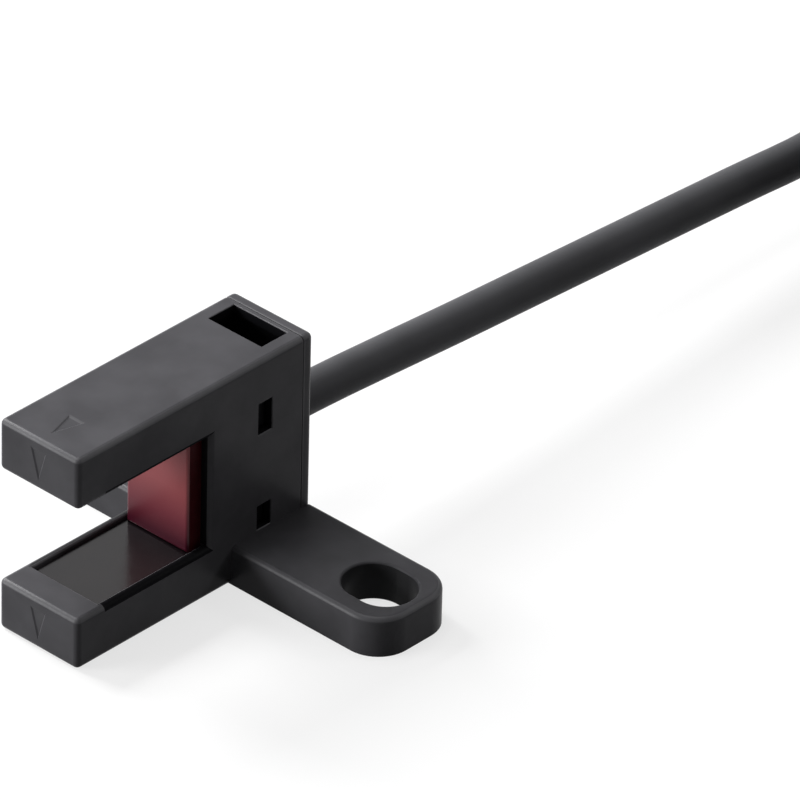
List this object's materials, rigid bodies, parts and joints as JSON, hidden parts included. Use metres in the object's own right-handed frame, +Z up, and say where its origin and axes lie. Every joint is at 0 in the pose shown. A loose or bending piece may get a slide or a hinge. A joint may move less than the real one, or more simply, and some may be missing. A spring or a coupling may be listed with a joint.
{
  "type": "fork sensor",
  "caption": "Micro fork photo sensor: slotted black body with opposed arms, red indicator block, side mounting flanges with slots, and a thin coiled cable with stripped leads.",
  "frame": {"origin": "middle between the two mounting slots, on the base plane", "axes": "+X along the flanges, +Y from the fork's tips to the cable outlet, +Z up from the base"},
  "size_m": [0.0449, 0.0924, 0.0143],
  "materials": {
    "case_plastic": "fine matte moulded black",
    "red_cover": "clear red moulding",
    "dark_window": "dark infrared window",
    "emitter_resin": "clear resin",
    "receiver_resin": "black resin",
    "tinned_metal": "tinned",
    "board": "green solder mask",
    "lamp_resin": "diffused resin",
    "chip_black": "ceramic",
    "chip_tan": "ceramic",
    "brown_insulation": "extruded",
    "black_insulation": "extruded",
    "white_insulation": "extruded",
    "blue_insulation": "extruded",
    "cable_sheath": "extruded matte",
    "tie_plastic": "soft strip"
  },
  "bodies": {
    "root": {"case": "case_plastic", "rear_lid": "case_plastic", "indicator_cover": "red_cover", "emitter_window": "dark_window", "receiver_window": "dark_window", "cable_clamp": "case_plastic", "emitter": "emitter_resin", "emitter_legs": "tinned_metal", "receiver": "receiver_resin", "receiver_legs": "tinned_metal", "circuit_board": "board", "indicator_led": "lamp_resin", "output_transistors": "receiver_resin", "chip_resistors": "chip_black", "chip_capacitors": "chip_tan", "core_brown": "brown_insulation", "core_black": "black_insulation", "core_white": "white_insulation", "core_blue": "blue_insulation", "cable_run": "cable_sheath", "cable_coil": "cable_sheath", "coil_ties": "tie_plastic", "cable_end": "cable_sheath", "lead_brown": "brown_insulation", "lead_black": "black_insulation", "lead_white": "white_insulation", "lead_blue": "blue_insulation", "lead_tips": "tinned_metal"}
  },
  "joints": []
}
